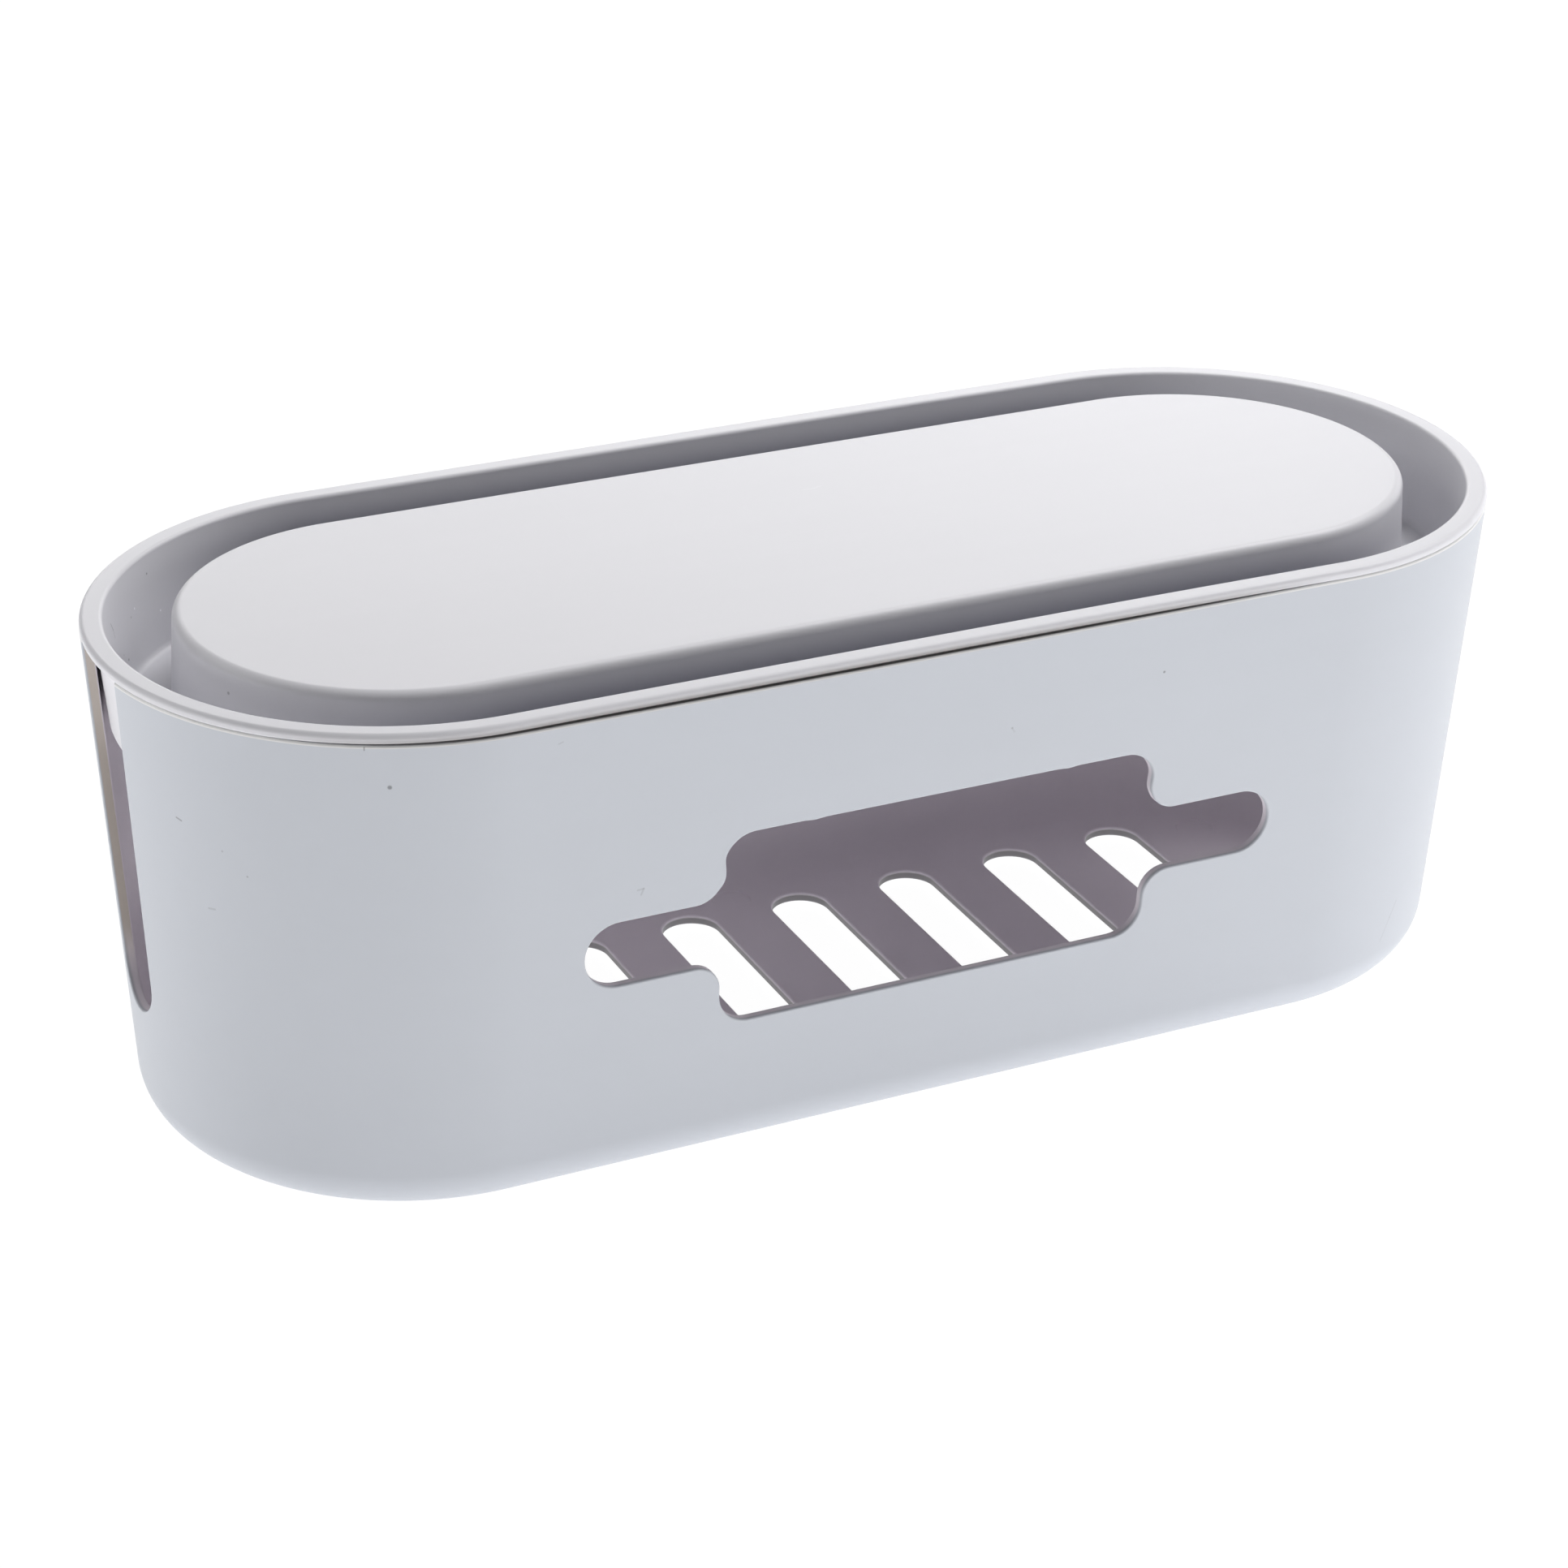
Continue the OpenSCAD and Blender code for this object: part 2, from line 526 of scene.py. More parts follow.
def beside(r0: float, z0: float, lean: float, z: float, radius: float, side: int) -> float:
    """Centre of a round that touches a leaning wall.

    Args:
        r0: distance of a point on the wall from the axis.
        z0: height of that point.
        lean: the wall's lean from upright, in degrees.
        z: height of the round's centre.
        radius: the round's radius.
        side: 1 for a centre outside the wall, -1 for one inside it.

    Returns:
        The centre's distance from the axis.
    """
    a = math.radians(lean)
    return r0 + ((z - z0) * math.sin(a) + side * radius) / math.cos(a)


class OvalSweep(GeometryGraph):
    """Carries a half section round a straight-sided oval."""

    PATCH = "patch"
    WELD = 0.0005       # points nearer to each other than this become one
    NUDGE = 1e-4        # lifts a whole quotient over its rounding
    TURN_STEPS = 24

    def __init__(self) -> None:
        """Build the tree."""
        super().__init__("oval sweep", {"Half Run": float, "End Steps": int, "Run Steps": int})
        section, half = self.input("Geometry"), self.input("Half Run")
        ends, run = self.input("End Steps"), self.input("Run Steps")
        across = self.node("GeometryNodeAttributeDomainSize", {"component": "MESH"}, section,
                           out="Point Count")
        grid = self.node("GeometryNodeMeshGrid", None,
                         **{"Vertices X": (ends + run) * 2 + 1, "Vertices Y": across})
        index = self.node("GeometryNodeInputIndex")
        step = (index / across + self.NUDGE).floor()
        place = index - step * across
        spot = self.node("GeometryNodeSampleIndex", {"data_type": "FLOAT_VECTOR"}, section,
                         Value=self.node("GeometryNodeInputPosition"), Index=place)
        radius, _, height = self.axes(spot)
        turned = step.least(ends) + (step - ends - run).most(0.0).least(ends)
        angle = turned / ends * math.pi - math.pi / 2
        back = ((step - ends) / run).most(0.0).least(1.0)
        front = ((step - ends * 2 - run) / run).most(0.0).least(1.0)
        centre = half * (1 - back * 2 + front * 2)
        target = self.node("ShaderNodeCombineXYZ", None, centre + radius * angle.cos(),
                           radius * angle.sin(), height)
        patch = index % (across - 1) + 1
        mesh = self.node("GeometryNodeStoreNamedAttribute",
                         {"data_type": "INT", "domain": "FACE"}, grid, Name=self.PATCH,
                         Value=patch)
        mesh = self.node("GeometryNodeSetPosition", None, mesh, Position=target)
        mesh = self.node("GeometryNodeMergeByDistance", None, mesh, Distance=self.WELD)
        self.close(mesh)

    def sweep(self, section: Section, half: float, end_steps: int, run_steps: int,
              material: bpy.types.Material | None = None) -> bpy.types.Mesh:
        """Sweep a section.

        Args:
            section: the half section.
            half: half the straight run's length.
            end_steps: steps round each half turn.
            run_steps: steps along each straight run.
            material: the finish.

        Returns:
            The closed mesh.
        """
        rail = mesh_of("section", [(r, 0.0, z) for r, z in section.points])
        return self.run(rail, material, Half_Run=half, End_Steps=end_steps,
                        Run_Steps=run_steps)

    def turn(self, section: Section) -> bpy.types.Mesh:
        """Sweep a section of a small round form about its own axis."""
        return self.sweep(section, 0.0, self.TURN_STEPS, 1)


def true_normals(mesh: bpy.types.Mesh, section: Section, half: float,
                 join: float = 40.0) -> None:
    """Give every corner the direction of the surface that the section stands for.

    Faces that a cutter left blend into the swept surface where they meet it gently, and with
    each other within the same angle.

    Args:
        mesh: the swept and cut mesh.
        section: the half section that was swept.
        half: half the straight run's length.
        join: greatest angle, in degrees, across which faces shade as one.
    """
    faces = len(mesh.polygons)
    spots = column(mesh.vertices, "co", 3)
    vertex = column(mesh.loops, "vertex_index", kind=int)
    owner = np.repeat(np.arange(faces), column(mesh.polygons, "loop_total", kind=int))
    patch = column(mesh.attributes[OvalSweep.PATCH].data, "value", kind=int)
    flat = column(mesh.polygons, "normal", 3)
    area = column(mesh.polygons, "area")
    middle = column(mesh.polygons, "center", 3)

    line = np.array(section.points)
    leans = np.array(section.leans)
    normal = flat[owner].copy()
    swept = patch[owner] > 0
    step = patch[owner][swept] - 1
    here = spots[vertex[swept]]
    hub = np.clip(here[:, 0], -half, half)
    out = np.c_[here[:, 0] - hub, here[:, 1]]
    radius = np.linalg.norm(out, axis=1)
    centre = middle[owner[swept]]
    fallback = np.c_[centre[:, 0] - np.clip(centre[:, 0], -half, half), centre[:, 1]]
    out = np.where(radius[:, None] > ON_AXIS, out, fallback)
    out /= np.maximum(np.linalg.norm(out, axis=1, keepdims=True), TINY)
    first, last = line[step], line[step + 1]
    along = last - first
    share = ((np.c_[radius, here[:, 2]] - first) * along).sum(1) / (along ** 2).sum(1)
    share = np.clip(share, 0, 1)[:, None]
    lean = leans[step, 0] * (1 - share) + leans[step, 1] * share
    lean /= np.linalg.norm(lean, axis=1, keepdims=True)
    normal[swept] = np.c_[out * lean[:, :1], lean[:, 1]]

    limit = math.cos(math.radians(join))
    around: dict[int, list[int]] = {}
    cut = np.flatnonzero(~swept)
    touched = set(vertex[cut].tolist())
    for corner in np.flatnonzero(np.isin(vertex, list(touched))):
        around.setdefault(int(vertex[corner]), []).append(int(corner))
    for corner in cut:
        own = flat[owner[corner]]
        near = [c for c in around[int(vertex[corner])] if flat[owner[c]] @ own > limit]
        kept = [c for c in near if swept[c]]
        if kept:
            normal[corner] = normal[max(kept, key=lambda c: normal[c] @ own)]
        else:
            normal[corner] = sum(flat[owner[c]] * area[owner[c]] for c in near
                                 if not swept[c])
    normal /= np.maximum(np.linalg.norm(normal, axis=1, keepdims=True), TINY)
    mesh.polygons.foreach_set("use_smooth", [True] * faces)
    mesh.normals_split_custom_set([tuple(n) for n in normal])


def finish_piece(name: str, mesh: bpy.types.Mesh, body: str, slot: str,
                 *nodes: str) -> None:
    """Turn a mesh into metres and give it its place in the frame.

    The piece keeps one material slot, which its cut faces share.

    Args:
        name: the piece's name.
        mesh: the mesh, in millimetres, with one material and perhaps an empty slot.
        body: the CAD body that it rides on.
        slot: the record's material slot; not used.
        nodes: the CAD nodes that it stands for.
    """
    material = next(m for m in mesh.materials if m)
    mesh.materials.clear()
    mesh.materials.append(material)
    mesh.transform(Matrix.Scale(MM, 4))
    piece = new_object(name, mesh)
    mesh.name = name
    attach(piece, body)
    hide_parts(*nodes)
    LOG.info("%s: %d faces, rides on %s", name, len(mesh.polygons), body)


# ---------------------------------------------------------------- finishes


def new_tree(block: bpy.types.Material | bpy.types.World) -> Graph:
    """Give a material or a world an empty node tree.

    Args:
        block: the material or world.

    Returns:
        The graph of its tree.
    """
    block.use_nodes = True
    block.node_tree.nodes.clear()
    return Graph(block.node_tree)


@dataclass(frozen=True)
class Stroke:
    """A small dot in the surface, or a short line where it has an end."""

    start: Place
    radius: float
    depth: float
    end: Place | None = None
    solid: float = 0.4      # share of the radius over which the mark is whole

    def mask(self, g: Graph, place: Wire) -> Wire:
        """One on the mark and zero away from it.

        Args:
            g: the material's graph.
            place: the place, in millimetres.

        Returns:
            The mask.
        """
        away = g.vector("SUBTRACT", place, self.start)
        if self.end:
            along = Vector(self.end) - Vector(self.start)
            share = g.vector("DOT_PRODUCT", away, tuple(along / along.length_squared),
                             out="Value")
            away = g.vector("SUBTRACT", away, g.scaled(tuple(along), share.most(0.0).least(1.0)))
        return g.vector("LENGTH", away, out="Value").ramp(self.radius, self.radius * self.solid)


@dataclass(frozen=True)
class Plastic:
    """Satin moulded plastic with a spark-eroded grain."""

    name: str
    colour: Colour
    tints: tuple[Colour, ...]
    roughness: float = 0.42
    rough_clouds: float = 0.06
    rough_grain: float = 0.05
    grain: float = 0.012
    fine_scale: float = 3.1
    fine_share: float = 0.7
    pit_scale: float = 0.9
    clouds: float = 0.03
    cloud_scale: Place = (0.018, 0.018, 0.026)
    flow_scale: Place = (0.012, 0.16, 0.16)
    marks: tuple[Stroke, ...] = ()

    def build(self, *masks: Callable[[Graph, Wire], Wire]) -> bpy.types.Material:
        """Make the material.

        Args:
            masks: each gives the share of one tint, in order, from the place in millimetres.

        Returns:
            The material.
        """
        material = bpy.data.materials.new(self.name)
        g = new_tree(material)
        place = g.place()
        cloud = self.noise(g, place, self.cloud_scale, 3.0)
        flow = self.noise(g, place, self.flow_scale, 2.0)
        tone = 1 + (cloud - 0.5) * self.clouds + (flow - 0.5) * (self.clouds * 0.5)
        for mark in self.marks:
            tone = tone * (1 - mark.mask(g, place) * mark.depth)
        base: Any = (*self.colour, 1.0)
        for tint, mask in zip(self.tints, masks, strict=True):
            base = g.mix(mask(g, place), base, (*tint, 1.0))
        shade = g.scaled(base, tone)
        fine = self.noise(g, place, (self.fine_scale,) * 3, 2.0)
        pits = self.noise(g, place, (self.pit_scale,) * 3, 2.0)
        height = fine * self.fine_share + pits * (1 - self.fine_share)
        bump = g.node("ShaderNodeBump", None, Height=height, Strength=1.0,
                      Distance=self.grain * MM)
        rough = self.roughness + (cloud - 0.5) * self.rough_clouds
        rough = rough + (fine - 0.5) * self.rough_grain
        surface = g.node("ShaderNodeBsdfPrincipled", None,
                         **{"Base Color": shade, "Roughness": rough, "Normal": bump})
        g.node("ShaderNodeOutputMaterial", None, surface)
        return material

    @staticmethod
    def noise(g: Graph, place: Wire, scale: Place, detail: float) -> Wire:
        """Noise from zero to one, with its scale per millimetre on each axis."""
        spot = g.node("ShaderNodeMapping", None, place, Scale=scale)
        return g.node("ShaderNodeTexNoise", None, Vector=spot, Scale=1.0, Detail=detail)


@dataclass(frozen=True)
class Rubber:
    """Dull moulded rubber."""

    name: str
    colour: Colour
    roughness: float = 0.8
    grain: float = 0.03
    grain_scale: float = 2.4
    dust_scale: float = 0.4
    dust_span: Span = (0.45, 0.8)
    dust_share: float = 0.5
    dust_gain: float = 1.8
    dust_rough: float = 0.15

    def build(self) -> bpy.types.Material:
        """Make the material, grainy and with pale dust in patches.

        Returns:
            The material.
        """
        material = bpy.data.materials.new(self.name)
        g = new_tree(material)
        place = g.place()
        grain = Plastic.noise(g, place, (self.grain_scale,) * 3, 3.0)
        dust = Plastic.noise(g, place, (self.dust_scale,) * 3, 2.0)
        pale = (*(c * self.dust_gain for c in self.colour), 1.0)
        shade = g.mix(dust.ramp(*self.dust_span) * self.dust_share, (*self.colour, 1.0), pale)
        bump = g.node("ShaderNodeBump", None, Height=grain, Strength=1.0,
                      Distance=self.grain * MM)
        surface = g.node("ShaderNodeBsdfPrincipled", None,
                         **{"Base Color": shade, "Normal": bump,
                            "Roughness": self.roughness + (dust - 0.5) * self.dust_rough})
        g.node("ShaderNodeOutputMaterial", None, surface)
        return material


# ---------------------------------------------------------------- the box


FLARE = 75.0        # degrees of round that a cutter leaves on an edge
SKIM = 0.01         # how far short of a face a cutter's round ends
REACH = 0.2         # how far a cutter runs past a face
SHARP = 0.2         # least slope of a corner's way out, so that no sharp corner runs off


def edge_rounds(thickness: float, radius: float, steps: int = 6) -> list[tuple[float, float]]:
    """Depth and widening of a cutter that rounds both edges of its hole.

    Args:
        thickness: the wall's thickness.
        radius: the rounds' radius.
        steps: steps in each round.

    Returns:
        Pairs from outside the outer face to beyond the inner one.
    """
    top = math.radians(FLARE)
    turns = [top * (1 - k / steps) for k in range(steps + 1)]
    near = [(SKIM + radius * (math.sin(top) - math.sin(t)), radius * (1 - math.cos(t)))
            for t in turns]
    tail = (-REACH, near[0][1] + (REACH + SKIM) * math.tan(top))
    near = [tail, *near]
    return near + [(thickness - d, o) for d, o in reversed(near)]


@dataclass
class Outline:
    """A closed outline of points in the wall, walked anticlockwise."""

    points: list[Point] = field(default_factory=list)

    def arc(self, cx: float, cy: float, radius: float, start: float, end: float,
            steps: int = 14) -> "Outline":
        """Add an arc.

        Args:
            cx: first place of the centre.
            cy: second place of the centre.
            radius: the arc's radius.
            start: first angle, in degrees.
            end: last angle, in degrees.
            steps: number of steps.

        Returns:
            The outline itself.
        """
        for turn in np.radians(np.linspace(start, end, steps + 1)):
            self.points.append((cx + radius * math.cos(turn), cy + radius * math.sin(turn)))
        return self

    def widened(self, by: float) -> np.ndarray:
        """Move the outline outwards, point by point.

        Args:
            by: how far, square to each side.

        Returns:
            The new points, one row each.
        """
        spots = np.array(self.points)
        before, after = np.roll(spots, 1, 0), np.roll(spots, -1, 0)
        sides = []
        for way in (spots - before, after - spots):
            way = way / np.maximum(np.linalg.norm(way, axis=1, keepdims=True), TINY)
            sides.append(np.c_[way[:, 1], -way[:, 0]])
        out = sides[0] + sides[1]
        out /= np.maximum((out * sides[0]).sum(1, keepdims=True), SHARP)
        return spots + out * by

    def divided(self, longest: float) -> "Outline":
        """Cut the outline's long straight steps into shorter ones.

        Args:
            longest: greatest length of a step.

        Returns:
            The new outline.
        """
        spots: list[Point] = []
        for (ax, ay), (bx, by) in zip(self.points, self.points[1:] + self.points[:1]):
            count = max(1, math.ceil(math.hypot(bx - ax, by - ay) / longest))
            spots += [(ax + (bx - ax) * k / count, ay + (by - ay) * k / count)
                      for k in range(count)]
        return Outline(spots)


@dataclass(frozen=True)
class Nib:
    """A thin run of flash that stands into an opening."""

    x: float
    y: float
    reach: float
    depth: float
    fall: float = 1.5

    def press(self, outline: Outline) -> Outline:
        """Pull the outline in beside the nib.

        Args:
            outline: the opening's outline.

        Returns:
            The new outline.
        """
        spots = np.array(outline.points)
        away = np.hypot(spots[:, 0] - self.x, spots[:, 1] - self.y) / self.reach
        share = np.clip(1 - away ** 2, 0, 1) ** self.fall
        moved = spots + (outline.widened(-self.depth) - spots) * share[:, None]
        return Outline([tuple(p) for p in moved])


class Instancer(GeometryGraph):
    """Sets copies of a mesh out in a straight row."""

    def __init__(self) -> None:
        """Build the tree."""
        super().__init__("row", {"Count": int, "Pitch": float})
        count, pitch = self.input("Count"), self.input("Pitch")
        start = self.node("ShaderNodeCombineXYZ", None, (count - 1) * pitch * -0.5)
        step = self.node("ShaderNodeCombineXYZ", None, pitch)
        line = self.node("GeometryNodeMeshLine", {"mode": "OFFSET"}, Count=count,
                         **{"Start Location": start, "Offset": step})
        self.close(self.node("GeometryNodeInstanceOnPoints", None, line,
                             Instance=self.input("Geometry")))


class Corners(GeometryGraph):
    """Sets a copy of a mesh at each corner of a rectangle."""

    def __init__(self) -> None:
        """Build the tree."""
        super().__init__("corners", {"Reach X": float, "Reach Y": float})
        grid = self.node("GeometryNodeMeshGrid", None,
                         **{"Size X": self.input("Reach X") * 2,
                            "Size Y": self.input("Reach Y") * 2,
                            "Vertices X": 2, "Vertices Y": 2})
        self.close(self.node("GeometryNodeInstanceOnPoints", None, grid,
                             Instance=self.input("Geometry")))


class End(Enum):
    """The two round ends of the box."""

    LEFT = -1
    RIGHT = 1


@dataclass
class Shell:
    """The open body, with its front opening, end slots and floor vents."""

    length: float = 320.0
    width: float = 130.0
    height: float = 110.8
    draft: float = 3.37
    wall: float = 2.4
    floor: float = 2.4
    bottom_r: float = 11.3
    lip_r: float = 0.5
    window_w: float = 100.0
    window_h: float = 44.8
    arm_span: float = 160.4
    arm_h: float = 15.0
    arm_flat: float = 0.01
    window_z: float = 55.8
    window_r: float = 7.0
    arm_root_r: float = 6.0
    edge_r: float = 0.45
    nibs: tuple[Nib, ...] = (Nib(-50.0, 13.8, 4.2, 0.6), Nib(50.0, 13.9, 2.8, 0.25),
                             Nib(-29.9, 22.4, 1.9, 0.25), Nib(29.0, 22.4, 2.0, 0.25))
    end_slot_w: float = 18.6
    end_slot_draft: float = 1.6
    end_slot_z: float = 31.0
    end_slot_over: float = 5.0
    vent_n: int = 8
    vent_pitch: float = 28.28
    vent_w: float = 13.6
    vent_l: float = 77.8
    vent_edge_r: float = 0.7
    foot_proud: float = 1.4
    foot_seat: float = 0.6
    seat_r: float = 6.15
    foot_x: float = 119.0
    foot_y: float = 25.0
    lip_sag: float = 0.25
    gape_x: float = -25.0
    gape_reach: float = 115.0
    gape_power: int = 4
    mark_r: float = 4.5
    mark_depth: float = 0.2
    mark_spots: tuple[Point, ...] = ((0.4, 41.6), (0.4, -41.6), (120.7, 29.6), (120.7, -29.6),
                                     (-120.7, 29.6), (-120.7, -29.6))
    end_steps: int = 96
    run_steps: int = 12
    # Where each tint starts and where it is whole.
    # The inside is painted paler and pinker as painted light, over this span of depth.
    inside_tint: Span = (0.3, 1.2)
    # The vents' walls are painted darker as painted shade, over these spans.
    vent_tint_low: Span = (0.02, 0.3)
    vent_tint_high: Span = (0.3, 0.8)
    vent_tint_side: Span = (0.0, 1.0)
    # The top edge's outer round is painted paler as a painted highlight, over these spans.
    lip_tint_z: Span = (-0.75, -0.6)
    lip_tint_r: Span = (0.05, 0.2)
    # The gap under the rim is painted darker as painted shade, over these spans.
    dust_z: Span = (-0.6, -0.4)
    dust_out: Span = (0.1, 0.0)
    dust_in: Span = (-1.0, -0.7)
    # The end slots' cut faces are painted darker as painted shade, over these spans.
    slot_tint_x: Span = (150.0, 151.0)
    slot_tint_z: Span = (3.0, 16.0)
    slot_tint_out: Span = (0.3, 0.6)
    slot_tint_in: Span = (0.15, 0.4)

    @property
    def half(self) -> float:
        """Half the straight run's length."""
        return (self.length - self.width) / 2

    @property
    def lean(self) -> float:
        """Tangent of the walls' lean."""
        return math.tan(math.radians(self.draft))

    @property
    def base_r(self) -> float:
        """End radius where the wall would meet the underside."""
        return self.width / 2 - self.height * self.lean

    @property
    def lip_edge(self) -> float:
        """Distance from the spine of the middle of the top edge's outer round."""
        return self.width / 2 - self.lip_r

    def section(self) -> Section:
        """Draw the half section: underside, wall, top edge, inside, floor.

        Returns:
            The section, from the axis outwards and back to it.
        """
        inner_r = self.bottom_r - self.wall
        lip_z = self.height - self.lip_r
        base, inside = self.base_r, self.base_r - self.wall

        def hub(r0: float, z: float, radius: float, side: int) -> float:
            """Centre of a round beside one of the walls."""
            return beside(r0, 0.0, self.draft, z, radius, side)

        made = Section().to(0, 0)
        made.arc(hub(base, self.bottom_r, self.bottom_r, -1), self.bottom_r, self.bottom_r,
                 -90, -self.draft, 20)
        made.arc(hub(base, lip_z, self.lip_r, -1), lip_z, self.lip_r, -self.draft, 90, 6)
        made.arc(hub(inside, lip_z, self.lip_r, 1), lip_z, self.lip_r, 90, 180 - self.draft, 6)
        z = self.floor + inner_r
        made.arc(hub(inside, z, inner_r, -1), z, inner_r, -self.draft, -90, 18)
        return made.to(0, self.floor)

    def window(self) -> Outline:
        """Draw the front opening about its own centre.

        Returns:
            The outline, with its flash.
        """
        arm_r = self.arm_h / 2 - self.arm_flat
        root, corner = self.arm_root_r, self.window_r
        arm = (self.arm_span / 2 - arm_r, self.arm_h / 2 - arm_r)
        neck = (self.window_w / 2 + root, self.arm_h / 2 + root)
        post = (self.window_w / 2 - corner, self.window_h / 2 - corner)
        made = Outline()
        for turn in range(4):
            sx = 1 if turn in (0, 3) else -1
            sy = 1 if turn < 2 else -1
            quarter = Outline().arc(*arm, arm_r, 0, 90).arc(*neck, root, 270, 180)
            quarter.arc(*post, corner, 0, 90)
            spots = [(x * sx, y * sy) for x, y in quarter.points]
            made.points += spots if sx * sy > 0 else spots[::-1]
        made = made.divided(longest=1.2)
        for nib in self.nibs:
            made = nib.press(made)
        return made

    def window_cutter(self) -> bpy.types.Mesh:
        """Make the cutter of the front opening, which follows the wall's lean.

        Returns:
            The closed mesh.
        """
        shape = self.window()
        rings = []
        for depth, wider in edge_rounds(self.wall, self.edge_r):
            ring = shape.widened(wider)
            z = ring[:, 1] + self.window_z
            rings.append(np.c_[ring[:, 0], depth - self.base_r - z * self.lean, z])
        return loft(rings)

    def slot_cutter(self, end: End) -> bpy.types.Mesh:
        """Make the cutter of an end slot, which follows the wall's curve and lean.

        Args:
            end: the end that it cuts.

        Returns:
            The closed mesh.
        """
        a = self.end_slot_draft
        r = self.end_slot_w / 2
        centre = self.end_slot_z + r
        over = self.height + self.end_slot_over
        lean = math.radians(a)
        half_w = r * math.cos(lean) + (over - centre + r * math.sin(lean)) * math.tan(lean)
        shape = Outline([(half_w, over), (-half_w, over)])
        shape.arc(0, centre, r, 180 + a, 360 - a, 36)
        shape = shape.divided(longest=8.0)
        rings = []
        for depth, wider in edge_rounds(self.wall, self.edge_r):
            ring = shape.widened(wider)
            reach = self.base_r + ring[:, 1] * self.lean - depth
            x = self.half + np.sqrt(reach ** 2 - ring[:, 0] ** 2)
            rings.append(np.c_[x * end.value, ring])
        clear = np.array([self.wall * 2 * end.value, 0.0, 0.0])
        return loft([rings[0] + clear, *rings, rings[-1] - clear])

    def vent_cutters(self, sweep: OvalSweep) -> bpy.types.Mesh:
        """Make the cutters of the floor vents, in a row.

        Args:
            sweep: the tree that carries sections round an oval.

        Returns:
            One mesh with all of them.
        """
        made = Section().to(0, -REACH)
        for depth, wider in edge_rounds(self.floor, self.vent_edge_r, 7):
            made.to(self.vent_w / 2 + wider, depth)
        made.to(0, self.floor + REACH)
        one = sweep.sweep(made, (self.vent_l - self.vent_w) / 2, sweep.TURN_STEPS, 1)
        one.transform(Matrix.Rotation(math.pi / 2, 4, "Z"))
        return Instancer().run(one, None, Count=self.vent_n, Pitch=self.vent_pitch)

    def seat_cutters(self, sweep: OvalSweep) -> bpy.types.Mesh:
        """Make the cutters of the feet's round seats.

        Args:
            sweep: the tree that carries sections round an oval.

        Returns:
            One mesh with all of them.
        """
        made = Section().to(0, -REACH).to(self.seat_r, -REACH)
        made.to(self.seat_r, self.foot_seat).to(0, self.foot_seat)
        return Corners().run(sweep.turn(made), None, Reach_X=self.foot_x, Reach_Y=self.foot_y)

    def mark_cutters(self, sweep: OvalSweep) -> list[bpy.types.Mesh]:
        """Make the cutters of the shallow discs that the ejector pins left in the floor.

        Args:
            sweep: the tree that carries sections round an oval.

        Returns:
            One mesh for each disc.
        """
        low, high = self.floor - self.mark_depth, self.floor + REACH
        made = Section().to(0, low).to(self.mark_r, low)
        made.to(self.mark_r + high - low, high).to(0, high)
        cutters = []
        for x, y in self.mark_spots:
            one = sweep.turn(made)
            one.transform(Matrix.Translation((x, y, 0)))
            cutters.append(one)
        return cutters

    def build(self, sweep: OvalSweep, material: bpy.types.Material) -> bpy.types.Mesh:
        """Make the body's mesh, in millimetres above the feet's plane.

        Args:
            sweep: the tree that carries sections round the oval.
            material: the finish.

        Returns:
            The finished mesh.
        """
        section = self.section()
        mesh = sweep.sweep(section, self.half, self.end_steps, self.run_steps, material)
        cutters = [self.window_cutter(), self.slot_cutter(End.LEFT),
                   self.slot_cutter(End.RIGHT), self.vent_cutters(sweep),
                   self.seat_cutters(sweep), *self.mark_cutters(sweep)]
        mesh = carve(mesh, cutters)
        true_normals(mesh, section, self.half)
        self.sag(mesh)
        mesh.transform(Matrix.Translation((0, 0, self.foot_proud)))
        return mesh

    def sag(self, mesh: bpy.types.Mesh) -> None:
        """Let the top edge hang a little between the round ends.

        Args:
            mesh: the body's mesh, before it stands on its feet.
        """
        spots = column(mesh.vertices, "co", 3)
        top = spots[:, 2] > self.height - 2 * self.lip_r
        spots[:, 2] -= np.where(top, self.gape(spots[:, 0]) * self.lip_sag, 0)
        move(mesh, spots)

    def gape(self, x: np.ndarray) -> np.ndarray:
        """Share of the gap between rim and body that stands open at each length."""
        away = np.abs(x - self.gape_x) / self.gape_reach
        return 1 - np.clip(away, 0, 1) ** self.gape_power

    def open(self, g: Graph, place: Wire) -> Wire:
        """The same share as gape, from the place in millimetres."""
        away = abs(g.axes(place)[0] - self.gape_x) / self.gape_reach
        return 1 - away.least(1.0) ** self.gape_power

    def reach(self, g: Graph, place: Wire) -> tuple[Wire, Wire]:
        """Find where a place lies in the half section.

        Args:
            g: the material's graph.
            place: the place, in millimetres.

        Returns:
            The distance from the oval's spine, and the height.
        """
        x, y, z = g.axes(place)
        run = (abs(x) - self.half).most(0.0)
        return (run * run + y * y).root(), z - self.foot_proud

    def inside(self, g: Graph, place: Wire) -> Wire:
        """Mask the inside of the wall and the floor, which is painted paler and pinker as
        painted light.

        Args:
            g: the material's graph.
            place: the place, in millimetres.

        Returns:
            One there, and zero outside.
        """
        radius, z = self.reach(g, place)
        aside = (radius + self.bottom_r - self.base_r - z * self.lean).most(0.0)
        under = (self.bottom_r - z).most(0.0)
        depth = self.bottom_r - (aside * aside + under * under).root()
        return depth.ramp(*self.inside_tint)

